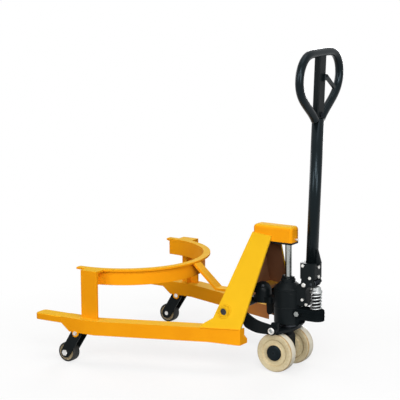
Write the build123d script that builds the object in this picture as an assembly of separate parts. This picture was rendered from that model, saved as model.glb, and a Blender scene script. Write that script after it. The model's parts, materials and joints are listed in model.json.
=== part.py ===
from build123d import *
from math import asin, atan2, cos, degrees, hypot, pi, radians, sin, sqrt, tan
import os

# Hand drum truck in its raised position, millimetres.
# While modelling, x is measured from the axis of the drum saddle, +x towards the toes,
# +y is the truck's left side and z is the height above the floor.

# Clearances
fit_gap = 0.05
running_gap = 0.3
side_gap = 1.5

# Drum saddle
ring_inner_radius = 290.0
ring_flange_width = 27.0
ring_flange_thickness = 8.0
ring_band_thickness = 7.0
ring_band_height = 55.0
ring_top_z = 355.0
ring_end_run = 13.0

# Legs: channels open below that splay outwards and then run straight to the toes
leg_bend_x = -98.0
leg_splay = 18.6
leg_bottom_z = 122.0
leg_height = 52.0
leg_width = 62.0
leg_wall = 5.0
leg_heel_x = -618.0
leg_open_x = -530.0
heel_drop = 7.0
heel_drop_length = 113.0
heel_end_thickness = 6.0
heel_end_foot = 48.0
heel_end_head = 28.0
toe_half_width = 372.0
toe_tip_x = 168.0
toe_height = 24.0
toe_corner_radius = 16.0
nose_x = 46.0
nose_cut = 35.0

# Posts between the legs and the saddle
post_x = -65.0
post_width = 70.0
post_thickness = 12.0
post_inset = 22.0
post_web_thickness = 8.0

# Strut and cross plate on the centreline
strut_width = 42.0
strut_thickness = 10.0
strut_angle = 41.5
strut_top_z = 266.0
strut_bend_x = -410.0
cross_plate_front_x = -531.0
cross_plate_rear_x = -586.0
cross_plate_thickness = 8.0

# Leaning side plates of the mast
plate_thickness = 9.5
plate_foot_front_x = -508.0
plate_top_front = (-573.0, 498.0)
plate_top_rear = (-651.0, 490.0)
plate_lap = 5.0
plate_flare_length = 34.0
plate_flare_height = 34.0
front_plate_thickness = 6.0
front_plate_inset = 3.0

# Head cap over the ram
cap_front_x = -572.0
cap_length = 161.0
cap_width = 56.0
cap_bottom_z = 470.0
cap_height = 57.0
cap_wall = 6.0
cap_top_radius = 13.0
cap_corner_radius = 11.0
crosshead_thickness = 8.0
crosshead_length = 90.0
head_screw_radius = 4.5
head_screw_reach = 11.0
head_screw_z = 480.0

# Rocker shaft, bosses and rocker
shaft_x = -548.0
shaft_z = 231.0
shaft_radius = 12.5
boss_radius = 21.0
boss_height = 8.0
boss_depth = 15.0
shaft_inset = 3.0
rocker_hub_radius = 16.0
rocker_arm_y = 109.0
rocker_arm_thickness = 10.0
rocker_eye_radius = 17.0
rocker_slot_play = 2.7
rocker_slot_depth = 7.0
rocker_lever_thickness = 8.0
rocker_pin_radius = 6.0
rocker_pin_over = 9.0
arm_upper = ((0.30, 4.5), (0.56, 1.0), (0.90, 14.0))
arm_lower = ((0.885, -26.0), (0.65, -42.0), (0.51, -45.5), (0.381, -44.8), (0.308, -37.1), (0.239, -25.9),
             (0.137, -17.1))

# Dome housing on the cross plate
dome_x = -597.0
dome_radius = 33.0
dome_bottom_z = 236.0
dome_top_z = 310.0
dome_base_length = 50.0
dome_base_width = 50.0
dome_base_height = 22.0
plug_radius = 5.0
plug_height = 4.0
plug_turn = 122.0
plug_rise = 38.0

# Steering axis, thrust bracket and bearing
axis_x = -705.0
lift_travel = 88.0
bracket_bottom_z = 147.0
bracket_plate = 10.0
bracket_radius = 36.0
bracket_ear_y = 90.0
bracket_ear_thickness = 13.0
bracket_ear_height = 42.0
bracket_ear_half = 17.0
link_bolt_reach = 4.0
link_bolt_z = 162.5
link_bolt_radius = 8.0
link_bolt_head_radius = 11.0
link_bolt_head = 6.0
washer_radius = 14.0
washer_thickness = 2.5
spindle_radius = 20.0
bearing_height = 12.0
bearing_radius = 33.0

# Pump and ram
ram_radius = 12.0
ram_foot_gap = 3.0
pump_radius = 52.0
pump_shoulder_z = 302.0
pump_neck_z = 322.0
pump_neck_radius = 26.0
pump_top_z = 335.0
pump_floor = 7.0
pump_edge = 4.0
pump_web_width = 44.0
pump_web_bottom_z = 244.0
valve_radius = 6.0
valve_height = 8.0
valve_places = ((9.0, 57.0), (-7.0, 73.0))

# Handle pivot, plunger and return spring
pivot_reach = 81.0
pivot_z = 325.0
pivot_pin_radius = 8.0
pivot_pin_head = 5.0
ear_radius = 13.0
plunger_reach = 114.0
plunger_radius = 8.0
plunger_depth = 16.0
tongue_bottom_z = 192.0
tongue_height = 40.0
tongue_radius = 27.0
tongue_edge = 4.0
tongue_gusset_reach = 63.0
tongue_gusset_drop = 22.0
tongue_bolt_radius = 10.0
tongue_bolt_head = 7.0
tongue_bolt_reach = 56.0
tongue_bolt_z = 216.0
tongue_pad_radius = 13.0
tongue_pad_height = 11.0
spring_radius = 18.6
spring_wire = 5.4
spring_turns = 5
spring_cap_radius = 22.0
spring_cap_rim = 9.0
spring_cap_hub_radius = 17.0
spring_cap_bottom_z = 292.0
spring_cap_height = 25.5

# Handle
yoke_half_width = 33.0
yoke_cheek = 9.0
yoke_front_reach = 63.0
yoke_rear_reach = 121.0
yoke_bottom_z = 346.5
yoke_top_z = 404.0
yoke_edge = 8.0
yoke_socket_depth = 30.0
yoke_bolt_radius = 6.5
yoke_bolt_head = 5.0
gusset_thickness = 12.0
gusset_rise = 48.0
gusset_reach = 12.0
cam_reach = 110.0
cam_roller_radius = 12.5
cam_roller_half = 20.0
cam_axle_radius = 5.0
tube_reach = 96.0
tube_radius = 21.0
tube_wall = 3.0
tube_top_run = 521.0
handle_tilt = 2.25
loop_tube_radius = 13.5
loop_half_width = 148.0
loop_lap = 4.0
loop_height = 237.0
loop_shape = ((0.15, 0.0), (0.66, 0.27), (0.93, 0.46), (1.0, 0.637), (0.957, 0.78), (0.71, 0.955),
              (0.30, 1.0))
centre_bar_width = 50.0
centre_bar_thickness = 23.0
centre_bar_edge = 5.0
loop_bolt_rise = 15.0
loop_bolt_radius = 6.0
loop_bolt_head = 5.0
lever_pin_drop = 82.0
lever_pin_offset = 14.0
lever_pin_radius = 5.0
lever_thickness = 8.0
lever_length = 102.0
lever_width = 15.0
lever_droop = 34.0

# Steer wheels
wheel_radius = 72.0
wheel_width = 40.0
wheel_spacing = 132.0
wheel_edge_radius = 5.0
wheel_recess_radius = 42.0
wheel_recess_depth = 3.0
axle_lead = 11.0
axle_radius = 10.0
hub_cap_radius = 25.0
hub_cap_height = 8.0
crown_half_length = 22.0
crown_half_width = 24.0
crown_hub_radius = 17.0
crown_height = 86.0
crown_top_z = 132.0
crown_edge = 14.0

# Load rollers and their forks
roller_radius = 37.0
roller_width = 34.0
roller_x = 35.0
roller_edge = 3.0
fork_pin_x = -16.0
fork_pin_radius = 8.0
fork_plate = 6.0
fork_pin_boss = 21.0
fork_axle_boss = 20.0
fork_brace_radius = 9.0
fork_lever_reach = 36.0
fork_lever_thickness = 8.0
fork_lever_pin_length = 28.0
fork_hub_radius = 11.0
fork_pin_drop = 4.0
ear_boss_radius = 14.0
pin_head = 5.0
roller_axle_radius = 8.0
roller_axle_hex = 12.0
roller_axle_head = 6.0

# Push rods
rod_inset = 50.0
rod_thickness = 8.0
rod_height = 34.0
rod_headroom = 0.3
rod_pin_play = 1.6
rod_end_wall = 6.0

# Worked-out places
splay = radians(leg_splay)
leg_offset = toe_half_width - tan(splay) * leg_bend_x
post_face_y = toe_half_width - post_inset
post_inner_y = post_face_y - post_thickness
lean_back = radians(handle_tilt)
leg_top_z = leg_bottom_z + leg_height
toe_bottom_z = leg_top_z - toe_height
toe_inner_y = toe_half_width - leg_width
flange_bottom_z = ring_top_z - ring_flange_thickness
band_bottom_z = flange_bottom_z - ring_band_height
ring_outer_radius = ring_inner_radius + ring_flange_width
band_radius = ring_inner_radius + ring_band_thickness
cap_rear_x = cap_front_x - cap_length
cap_top_z = cap_bottom_z + cap_height
bracket_top_z = bracket_bottom_z + bracket_plate
pump_bottom_z = bracket_top_z + bearing_height + running_gap
bore_floor_z = pump_bottom_z + pump_floor
ram_foot_z = bore_floor_z + lift_travel + ram_foot_gap
tongue_top_z = tongue_bottom_z + tongue_height
axle_x = axis_x + axle_lead
pivot_x = axis_x - pivot_reach
plunger_x = axis_x - plunger_reach
cam_x = axis_x - cam_reach
cap_seat_z = spring_cap_bottom_z + spring_cap_height
cam_z = cap_seat_z + cam_roller_radius + running_gap
link_bolt_x = axis_x + link_bolt_reach
fork_pin_z = leg_bottom_z - fork_pin_drop
roller_z = roller_radius
fork_outer_y = toe_half_width - leg_wall - side_gap
fork_inner_y = toe_inner_y + leg_wall + side_gap
fork_drop = fork_pin_z - roller_z
fork_length = hypot(roller_x - fork_pin_x, fork_drop)
fork_turn = asin(fork_drop / fork_length) - asin((fork_drop - lift_travel) / fork_length)
fork_lean = fork_turn / 2
track_y = toe_half_width - leg_width / 2
arm_back = shaft_x - link_bolt_x
arm_low = shaft_z - link_bolt_z
arm_length = hypot(arm_back, arm_low)
rocker_turn = atan2(arm_low, arm_back) - atan2(arm_low - lift_travel, arm_back)
rod_stroke = 2 * fork_lever_reach * sin(fork_lean)
rocker_lever_reach = rod_stroke / sin(rocker_turn)
rod_slot_radius = rocker_pin_radius + rod_pin_play
rod_eye = rod_slot_radius + rod_end_wall
loop_bolt_run = tube_top_run + loop_bolt_rise
loop_top_run = tube_top_run - loop_lap + loop_height
lever_pin_run = loop_top_run - lever_pin_drop
wheel_inner_y = (wheel_spacing - wheel_width) / 2
wheel_outer_y = (wheel_spacing + wheel_width) / 2


# Small builders
def block(x0, x1, y0, y1, z0, z1):
    return Pos((x0 + x1) / 2, (y0 + y1) / 2, (z0 + z1) / 2) * Box(abs(x1 - x0), abs(y1 - y0), abs(z1 - z0))


def pin_x(y, z, radius, x0, x1):
    return Pos((x0 + x1) / 2, y, z) * Rot(0, 90, 0) * Cylinder(radius, abs(x1 - x0))


def pin_y(x, z, radius, y0, y1):
    return Pos(x, (y0 + y1) / 2, z) * Rot(90, 0, 0) * Cylinder(radius, abs(y1 - y0))


def pin_z(x, y, radius, z0, z1):
    return Pos(x, y, (z0 + z1) / 2) * Cylinder(radius, abs(z1 - z0))


def slab_xz(points, y0, y1):
    face = make_face(Polyline(*[(x, y0, z) for x, z in points], close=True))
    return extrude(face, amount=y1 - y0, dir=(0, 1, 0))


def slab_xy(points, z0, z1):
    face = make_face(Polyline(*[(x, y, z0) for x, y in points], close=True))
    return extrude(face, amount=z1 - z0, dir=(0, 0, 1))


def slab_yz(points, x0, x1):
    face = make_face(Polyline(*[(x0, y, z) for y, z in points], close=True))
    return extrude(face, amount=x1 - x0, dir=(1, 0, 0))


def link_xz(p, radius_p, q, radius_q, y0, y1):
    """Flat link in the xz plane: two round ends joined by their outer tangents."""
    dx, dz = q[0] - p[0], q[1] - p[1]
    span = hypot(dx, dz)
    ux, uz = dx / span, dz / span
    k = (radius_p - radius_q) / span
    h = sqrt(1 - k * k)
    corners = []
    for side in (1, -1):
        nx, nz = ux * k - side * uz * h, uz * k + side * ux * h
        ends = [(p[0] + nx * radius_p, p[1] + nz * radius_p),
                (q[0] + nx * radius_q, q[1] + nz * radius_q)]
        corners += ends if side == 1 else ends[::-1]
    body = slab_xz(corners, y0, y1)
    return body + pin_y(p[0], p[1], radius_p, y0, y1) + pin_y(q[0], q[1], radius_q, y0, y1)


def hexagon_y(x, z, radius, y0, y1):
    face = Plane((x, y0, z), x_dir=(1, 0, 0), z_dir=(0, 1, 0)) * RegularPolygon(radius, 6)
    return extrude(face, amount=y1 - y0, dir=(0, 1, 0))


def other_side(shape):
    return mirror(shape, about=Plane.XZ)


def both_sides(shape):
    return Compound(children=[shape, other_side(shape)])


def spun(profile, x):
    """Solid turned about the upright axis at x from (radius, height) pairs."""
    face = make_face(Polyline(*[(x + r, 0, z) for r, z in profile], close=True))
    return revolve(face, Axis((x, 0, 0), (0, 0, 1)))


# Legs and toes
def leg_y(x, inset):
    return leg_offset + tan(splay) * x - inset / cos(splay)


def bend_x(inset):
    return (toe_half_width - inset - leg_offset + inset / cos(splay)) / tan(splay)


def leg_plan(inset_a, inset_b, x_rear, x_front):
    outer = [(x_rear, leg_y(x_rear, inset_a)), (bend_x(inset_a), toe_half_width - inset_a)]
    front = [(x_front, toe_half_width - inset_a), (x_front, toe_half_width - inset_b)]
    inner = [(bend_x(inset_b), toe_half_width - inset_b), (x_rear, leg_y(x_rear, inset_b))]
    return outer + front + inner


def leg_strip(inset_a, inset_b, x_rear, x_front, z0, z1):
    """Upright strip along the splayed part of the leg between two insets from its outer face."""
    ends = [(x_rear, leg_y(x_rear, inset_a)), (x_front, leg_y(x_front, inset_a))]
    backs = [(x_front, leg_y(x_front, inset_b)), (x_rear, leg_y(x_rear, inset_b))]
    return slab_xy(ends + backs, z0, z1)


def make_heel_end():
    outer = leg_y(leg_heel_x, leg_wall / 2)
    low = leg_bottom_z - heel_drop
    wide, narrow = outer - heel_end_foot, outer - heel_end_head
    points = [(outer, low), (wide, low), (wide, low + leg_height * 0.3), (narrow, low + leg_height * 0.65),
              (narrow, leg_top_z), (outer, leg_top_z)]
    return slab_yz(points, leg_heel_x, leg_heel_x + heel_end_thickness)


def make_leg():
    leg = slab_xy(leg_plan(0, leg_width, leg_heel_x, nose_x), leg_bottom_z, leg_top_z)
    leg -= slab_xy(leg_plan(leg_wall, leg_width - leg_wall, leg_heel_x - 1, nose_x + 1),
                   leg_bottom_z - 1, leg_top_z - leg_wall)
    leg -= leg_strip(leg_wall, 2 * leg_width, leg_heel_x - 1, leg_open_x, leg_bottom_z - 1, leg_top_z + 1)
    leg += leg_strip(0, leg_wall, leg_heel_x, leg_heel_x + heel_drop_length,
                     leg_bottom_z - heel_drop, leg_bottom_z)
    leg += make_heel_end()
    foot_x = nose_x - nose_cut
    leg -= slab_xz([(foot_x, leg_bottom_z - 1), (foot_x, leg_bottom_z), (nose_x, toe_bottom_z),
                    (nose_x + 1, toe_bottom_z), (nose_x + 1, leg_bottom_z - 1)],
                   toe_inner_y - 1, toe_half_width + 1)
    leg += pin_y(fork_pin_x, fork_pin_z, ear_boss_radius, toe_half_width - leg_wall, toe_half_width)
    leg += pin_y(fork_pin_x, fork_pin_z, ear_boss_radius, toe_inner_y, toe_inner_y + leg_wall)
    return leg - pin_y(fork_pin_x, fork_pin_z, fork_pin_radius, toe_inner_y - 1, toe_half_width + 1)


def make_toe():
    toe = block(nose_x, toe_tip_x, toe_inner_y, toe_half_width, toe_bottom_z, leg_top_z)
    toe = fillet(toe.edges().filter_by(Axis.Z).group_by(Axis.X)[-1], toe_corner_radius)
    toe = chamfer(toe.faces().sort_by(Axis.Z)[-1].edges().group_by(Axis.X)[1:], leg_wall / 2)
    return toe - block(nose_x - 1, toe_tip_x - toe_corner_radius, toe_inner_y + leg_wall,
                       toe_half_width - leg_wall, toe_bottom_z - 1, leg_top_z - leg_wall)


def make_post():
    """Flat bar from the leg to the top of the saddle with a web behind it that reaches in to the band."""
    reach = ring_inner_radius - ring_flange_width
    bar = block(post_x - post_width / 2, post_x + post_width / 2, post_inner_y, post_face_y,
                leg_top_z, ring_top_z)
    points = [(post_inner_y, leg_top_z), (toe_inner_y, leg_top_z), (toe_inner_y, band_bottom_z),
              (reach, band_bottom_z), (reach, flange_bottom_z), (post_inner_y, flange_bottom_z)]
    web = slab_yz(points, post_x - post_web_thickness / 2, post_x + post_web_thickness / 2)
    post = bar + web - pin_z(0, 0, band_radius, leg_top_z, ring_top_z)
    return post - pin_z(0, 0, ring_outer_radius, flange_bottom_z, ring_top_z)


# Drum saddle
def half_ring(inner, outer, z0, z1):
    ring = pin_z(0, 0, outer, z0, z1) - pin_z(0, 0, inner, z0 - 1, z1 + 1)
    return ring - block(0, outer + 1, -outer - 1, outer + 1, z0 - 1, z1 + 1)


def make_ring_flange():
    ring = half_ring(ring_inner_radius, ring_outer_radius, flange_bottom_z, ring_top_z)
    for side in (1, -1):
        ring += block(0, ring_end_run, side * ring_inner_radius, side * ring_outer_radius,
                      flange_bottom_z, ring_top_z)
        ring += block(post_x - post_width / 2, post_x + post_width / 2, side * ring_inner_radius,
                      side * post_inner_y, flange_bottom_z, ring_top_z)
    return ring


def make_ring_band():
    return half_ring(ring_inner_radius, band_radius, band_bottom_z, flange_bottom_z)


def make_strut():
    angle = radians(strut_angle)
    drop = strut_thickness * (1 - cos(angle)) / sin(angle)
    start_x = -ring_inner_radius
    rise = tan(angle) * (start_x - strut_bend_x)
    low_z = strut_top_z - strut_thickness
    points = [(start_x, strut_top_z + rise), (strut_bend_x, strut_top_z), (cross_plate_rear_x, strut_top_z),
              (cross_plate_rear_x, low_z), (strut_bend_x + drop, low_z),
              (start_x, strut_top_z + rise - strut_thickness / cos(angle))]
    strut = slab_xz(points, -strut_width / 2, strut_width / 2)
    strut -= pin_z(0, 0, band_radius, low_z, 2 * ring_top_z)
    strut -= block(start_x + 1, strut_bend_x, -strut_width, strut_width, flange_bottom_z, 2 * ring_top_z)
    return strut - pin_z(dome_x, 0, dome_radius, dome_bottom_z, dome_top_z)


# Mast: each side plate is ruled from the leg's top edge to the side of the head cap
def make_head_block():
    cap = block(cap_rear_x, cap_front_x, -cap_width / 2, cap_width / 2, cap_bottom_z, cap_top_z)
    cap = fillet(cap.edges().filter_by(Axis.Z), cap_corner_radius)
    return fillet(cap.faces().sort_by(Axis.Z)[-1].edges(), cap_top_radius)


plate_top_y = cap_width / 2 + plate_lap


def plate_edge(foot_x, top, z):
    """Point at height z on a straight edge of the plate's outer face."""
    share = (z - leg_top_z) / (top[1] - leg_top_z)
    foot_y = leg_y(foot_x, 0)
    return (foot_x + share * (top[0] - foot_x), foot_y + share * (plate_top_y - foot_y), z)


def plate_outer_y(x, z):
    front = plate_edge(plate_foot_front_x, plate_top_front, z)
    rear = plate_edge(leg_heel_x, plate_top_rear, z)
    return rear[1] + (x - rear[0]) / (front[0] - rear[0]) * (front[1] - rear[1])


def plate_section(front, rear):
    inward = (0, -plate_thickness, 0)
    corners = [Vector(front), Vector(rear), Vector(rear) + inward, Vector(front) + inward]
    return make_face(Polyline(*corners, close=True))


def make_flare():
    """Small web that widens the foot of the plate forwards along the leg."""
    heel = plate_edge(plate_foot_front_x, plate_top_front, leg_top_z)
    knee = plate_edge(plate_foot_front_x, plate_top_front, leg_top_z + plate_flare_height)
    slope = (knee[1] - heel[1] - tan(splay) * (knee[0] - heel[0])) / plate_flare_height
    corners = [heel]
    for share, rise in ((1.0, 0.0), (0.55, 0.5)):
        x, up = heel[0] + share * plate_flare_length, rise * plate_flare_height
        corners.append((x, leg_y(x, 0) + slope * up, leg_top_z + up))
    face = make_face(Polyline(*corners, knee, close=True))
    return extrude(face, amount=plate_thickness, dir=(0, -1, 0))


def make_side_plate():
    foot = plate_section((plate_foot_front_x, leg_y(plate_foot_front_x, 0), leg_top_z),
                         (leg_heel_x, leg_y(leg_heel_x, 0), leg_top_z))
    top = plate_section((plate_top_front[0], plate_top_y, plate_top_front[1]),
                        (plate_top_rear[0], plate_top_y, plate_top_rear[1]))
    plate = loft([foot, top], ruled=True) + make_flare()
    return plate - pin_y(shaft_x, shaft_z, boss_radius, 0, leg_offset) - make_head_block()


def make_cross_plate():
    top = strut_top_z + cross_plate_thickness
    points = []
    for x in (cross_plate_front_x, cross_plate_rear_x):
        y = plate_outer_y(x, strut_top_z) - plate_thickness * 0.8
        points += [(x, y), (x, -y)] if x == cross_plate_front_x else [(x, -y), (x, y)]
    plate = slab_xy(points, strut_top_z, top) - pin_z(dome_x, 0, dome_radius, dome_bottom_z, dome_top_z)
    return plate - make_side_plate() - other_side(make_side_plate())


def make_front_plate():
    """Plate across the front of the mast, from the cross plate up to the cap, between the side plates."""
    lean, outline = [], []
    for z in (strut_top_z + cross_plate_thickness, cap_bottom_z):
        x, y, z = plate_edge(plate_foot_front_x, plate_top_front, z)
        lean.append((x - front_plate_inset, z))
        outline.append((y - plate_thickness / 2, z))
    lean += [(x - front_plate_thickness, z) for x, z in lean[::-1]]
    outline += [(-y, z) for y, z in outline[::-1]]
    plate = slab_xz(lean, -outline[0][0], outline[0][0]) & slab_yz(outline, lean[2][0], lean[0][0])
    return plate - make_side_plate() - other_side(make_side_plate())


boss_end_y = plate_outer_y(shaft_x, shaft_z) + boss_height
boss_start_y = boss_end_y - boss_height - boss_depth


def make_boss():
    boss = pin_y(shaft_x, shaft_z, boss_radius, boss_start_y, boss_end_y)
    return boss - pin_y(shaft_x, shaft_z, shaft_radius, boss_start_y - 1, boss_end_y + 1)


def make_shaft():
    return pin_y(shaft_x, shaft_z, shaft_radius, shaft_inset - boss_end_y, boss_end_y - shaft_inset)


def make_head_cap():
    pocket = block(cap_rear_x + cap_wall, cap_front_x - cap_wall, -cap_width / 2 + cap_wall,
                   cap_width / 2 - cap_wall, cap_bottom_z - 1, cap_top_z - 2 * cap_wall)
    screw = pin_x(0, head_screw_z, head_screw_radius, cap_rear_x - 1, cap_rear_x + head_screw_reach)
    return make_head_block() - pocket - screw


def make_crosshead():
    half = cap_width / 2 - 2
    return block(cap_rear_x + 2, cap_rear_x + 2 + crosshead_length, -half, half,
                 cap_bottom_z - crosshead_thickness, cap_bottom_z)


def make_head_screw():
    screw = pin_x(0, head_screw_z, head_screw_radius, cap_rear_x - head_screw_reach,
                  cap_rear_x + head_screw_reach)
    return chamfer(screw.edges(), 1.0)


def make_ram():
    return pin_z(axis_x, 0, ram_radius, ram_foot_z, cap_bottom_z - crosshead_thickness)


def make_dome():
    crown_z = dome_top_z - dome_radius
    dome = pin_z(dome_x, 0, dome_radius, dome_bottom_z, crown_z)
    dome += Pos(dome_x, 0, crown_z) * Sphere(dome_radius)
    base = block(dome_x - dome_base_length, dome_x, -dome_base_width / 2, dome_base_width / 2,
                 dome_bottom_z, dome_bottom_z + dome_base_height)
    return dome + fillet(base.edges().filter_by(Axis.Z), cap_corner_radius)


def make_dome_plug():
    turn, rise = radians(plug_turn), radians(plug_rise)
    out = Vector(cos(turn) * cos(rise), sin(turn) * cos(rise), sin(rise))
    centre = Vector(dome_x, 0, dome_top_z - dome_radius)
    seat = Plane(centre + out * (dome_radius + plug_height / 2), z_dir=out)
    return seat * Cylinder(plug_radius, 2 * plug_height) - make_dome()


# Rocker: hub on the shaft, two curved arms to the thrust bracket, two levers to the push rods
def on_arm(share, offset, y):
    """Point beside the straight line from the hub to the link bolt, offset upwards."""
    ux, uz = -arm_back / arm_length, -arm_low / arm_length
    along = share * arm_length
    return (shaft_x + along * ux + offset * uz, y, shaft_z + along * uz - offset * ux)


def link_slot():
    """Slot in the arm's eye that lets the straight-rising bolt slide along the swinging arm."""
    near = on_arm((arm_back - rocker_slot_play / 2) / arm_length, 0, 0)
    width = link_bolt_radius + rocker_slot_play
    face = rocker_arm_y - rocker_arm_thickness / 2
    return link_xz((near[0], near[2]), width, (link_bolt_x, link_bolt_z), width,
                   face - 1, face + rocker_slot_depth)


def make_arm():
    y = rocker_arm_y - rocker_arm_thickness / 2
    hub, eye = rocker_hub_radius, rocker_eye_radius
    upper = [on_arm(0, hub, y)] + [on_arm(s, w, y) for s, w in arm_upper] + [on_arm(1, eye, y)]
    lower = [on_arm(1, -eye, y)] + [on_arm(s, w, y) for s, w in arm_lower] + [on_arm(0, -hub, y)]
    edges = [Spline(*upper), Line(upper[-1], lower[0]), Spline(*lower), Line(lower[-1], upper[0])]
    arm = extrude(make_face(Wire(edges)), amount=rocker_arm_thickness, dir=(0, 1, 0))
    return arm + pin_y(link_bolt_x, link_bolt_z, eye, y, y + rocker_arm_thickness) - link_slot()


# The levers stand inside of where the rods' rear eyes come to at full travel
rod_inner_y = leg_y(shaft_x - rod_eye, rod_inset + rod_thickness / 2) - rod_stroke * tan(splay)
rocker_lever_y = rod_inner_y - side_gap - rocker_lever_thickness / 2
rocker_hub_half = rocker_lever_y + rocker_lever_thickness / 2 + side_gap
rocker_pin_end_y = leg_y(shaft_x + rod_eye, rod_inset - rod_thickness / 2) + rocker_pin_over


def make_rod_lever():
    y = rocker_lever_y - rocker_lever_thickness / 2
    pin_z_place = shaft_z - rocker_lever_reach
    lever = link_xz((shaft_x, shaft_z), rocker_hub_radius, (shaft_x, pin_z_place), 2 * rocker_pin_radius,
                    y, y + rocker_lever_thickness)
    return lever + pin_y(shaft_x, pin_z_place, rocker_pin_radius, y, rocker_pin_end_y)


def make_rocker():
    rocker = pin_y(shaft_x, shaft_z, rocker_hub_radius, -rocker_hub_half, rocker_hub_half)
    for half in (make_arm(), make_rod_lever()):
        rocker += half
        rocker += other_side(half)
    return rocker - pin_y(shaft_x, shaft_z, shaft_radius + fit_gap, -rocker_hub_half - 1, rocker_hub_half + 1)


# Thrust bracket
def make_bracket():
    end_y = bracket_ear_y + bracket_ear_thickness
    front, rear = link_bolt_x + bracket_ear_half, link_bolt_x - bracket_ear_half
    waist = bracket_radius / 2
    quarter = [(front, end_y), (axis_x + bracket_radius, waist)]
    behind = [(axis_x - bracket_radius, waist), (rear, end_y)]
    plan = quarter + [(x, -y) for x, y in quarter[::-1]] + [(x, -y) for x, y in behind[::-1]] + behind
    bracket = slab_xy(plan, bracket_bottom_z, bracket_top_z)
    bracket += pin_z(axis_x, 0, bracket_radius, bracket_bottom_z, bracket_top_z)
    top = bracket_bottom_z + bracket_ear_height
    ear = slab_xz([(front, bracket_bottom_z), (front, link_bolt_z), (link_bolt_x + bracket_ear_half / 2, top),
                   (rear, top), (rear, bracket_bottom_z)], bracket_ear_y, end_y)
    bracket += ear
    bracket += other_side(ear)
    bracket -= pin_z(axis_x, 0, spindle_radius + fit_gap, bracket_bottom_z - 1, bracket_top_z + 1)
    return bracket - pin_y(link_bolt_x, link_bolt_z, link_bolt_radius, -end_y - 1, end_y + 1)


def make_link_pins():
    """Pins of the bracket that stand in the blind slots of the arms."""
    end = rocker_arm_y - rocker_arm_thickness / 2 + rocker_slot_depth - running_gap
    return both_sides(pin_y(link_bolt_x, link_bolt_z, link_bolt_radius, bracket_ear_y, end))


def make_link_caps():
    """Washer and bolt head on the outer face of each arm, over the slot."""
    face = rocker_arm_y + rocker_arm_thickness / 2
    head = face + washer_thickness
    cap = pin_y(link_bolt_x, link_bolt_z, washer_radius, face, head)
    cap += hexagon_y(link_bolt_x, link_bolt_z, link_bolt_head_radius, head, head + link_bolt_head)
    return both_sides(cap)


def make_bearing():
    ring = pin_z(axis_x, 0, bearing_radius, bracket_top_z, bracket_top_z + bearing_height)
    ring = fillet(ring.edges(), 2.0)
    return ring - pin_z(axis_x, 0, spindle_radius + running_gap, bracket_top_z - 1, pump_bottom_z)


# Pump
def make_pump():
    pump = spun([(0, pump_bottom_z), (pump_radius - pump_edge, pump_bottom_z),
                 (pump_radius, pump_bottom_z + pump_edge), (pump_radius, pump_shoulder_z),
                 (pump_neck_radius + pump_edge, pump_neck_z), (pump_neck_radius, pump_neck_z),
                 (pump_neck_radius, pump_top_z - 2), (pump_neck_radius - 2, pump_top_z), (0, pump_top_z)],
                axis_x)
    half = pump_web_width / 2
    root_x = axis_x - pump_radius / 2
    web = slab_xz([(root_x, pump_web_bottom_z), (pivot_x - ear_radius / 2, pump_web_bottom_z),
                   (pivot_x, pivot_z - 2 * ear_radius), (pivot_x - ear_radius, pivot_z),
                   (pivot_x, pivot_z + ear_radius), (axis_x - pump_radius, pump_neck_z),
                   (root_x, pump_shoulder_z)], -half, half)
    pump += web
    pump += pin_y(pivot_x, pivot_z, ear_radius, -half, half)
    pump -= pin_y(pivot_x, pivot_z, pivot_pin_radius + fit_gap, -half - 1, half + 1)
    return pump - pin_z(axis_x, 0, ram_radius + fit_gap, bore_floor_z, pump_top_z + 1)


def make_valve_plugs():
    """Two plugs on each side of the pump's rear web, placed ahead of and below the handle pivot."""
    face = pump_web_width / 2
    plugs = []
    for ahead, below in valve_places:
        plugs.append(hexagon_y(pivot_x + ahead, pivot_z - below, valve_radius, face, face + valve_height))
    return Compound(children=plugs + [other_side(plug) for plug in plugs])


def make_tongue():
    end_x = axis_x - plunger_reach - tongue_edge
    root_x = axis_x - pump_radius / 2
    tongue = block(end_x, root_x, -tongue_radius, tongue_radius, tongue_bottom_z, tongue_top_z)
    tongue += pin_z(end_x, 0, tongue_radius, tongue_bottom_z, tongue_top_z)
    ends = [tongue.faces().sort_by(Axis.Z)[k].edges().group_by(Axis.X)[:-1] for k in (0, -1)]
    for group in ends:
        tongue = fillet([edge for edges in group for edge in edges], tongue_edge)
    tongue += slab_xz([(root_x, tongue_bottom_z), (axis_x - tongue_gusset_reach, tongue_bottom_z),
                       (axis_x - tongue_gusset_reach * 0.85, tongue_bottom_z - tongue_gusset_drop),
                       (root_x, tongue_bottom_z - tongue_gusset_drop)], -tongue_radius, tongue_radius)
    side = tongue_radius + tongue_pad_height
    tongue += pin_y(axis_x - tongue_bolt_reach, tongue_bolt_z, tongue_pad_radius, -side, side)
    tongue -= pin_z(axis_x, 0, pump_radius, bracket_bottom_z, tongue_top_z + 1)
    return tongue - pin_z(plunger_x, 0, plunger_radius + fit_gap, tongue_bottom_z - 1, tongue_top_z + 1)


def make_tongue_bolts():
    side = tongue_radius + tongue_pad_height
    return both_sides(hexagon_y(axis_x - tongue_bolt_reach, tongue_bolt_z, tongue_bolt_radius,
                                side, side + tongue_bolt_head))


def make_plunger():
    return pin_z(plunger_x, 0, plunger_radius, tongue_top_z - plunger_depth, spring_cap_bottom_z)


def make_spring_cap():
    rim_z = spring_cap_bottom_z + spring_cap_rim
    return spun([(0, spring_cap_bottom_z), (spring_cap_radius - 2, spring_cap_bottom_z),
                 (spring_cap_radius, spring_cap_bottom_z + 2), (spring_cap_radius, rim_z),
                 (spring_cap_hub_radius, rim_z + 4), (spring_cap_hub_radius, cap_seat_z - 4),
                 (spring_cap_hub_radius - 6, cap_seat_z), (0, cap_seat_z)], plunger_x)


def spring_place(turn, low, pitch):
    angle = 2 * pi * turn
    return Vector(plunger_x + spring_radius * cos(angle), spring_radius * sin(angle), low + pitch * turn)


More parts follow.
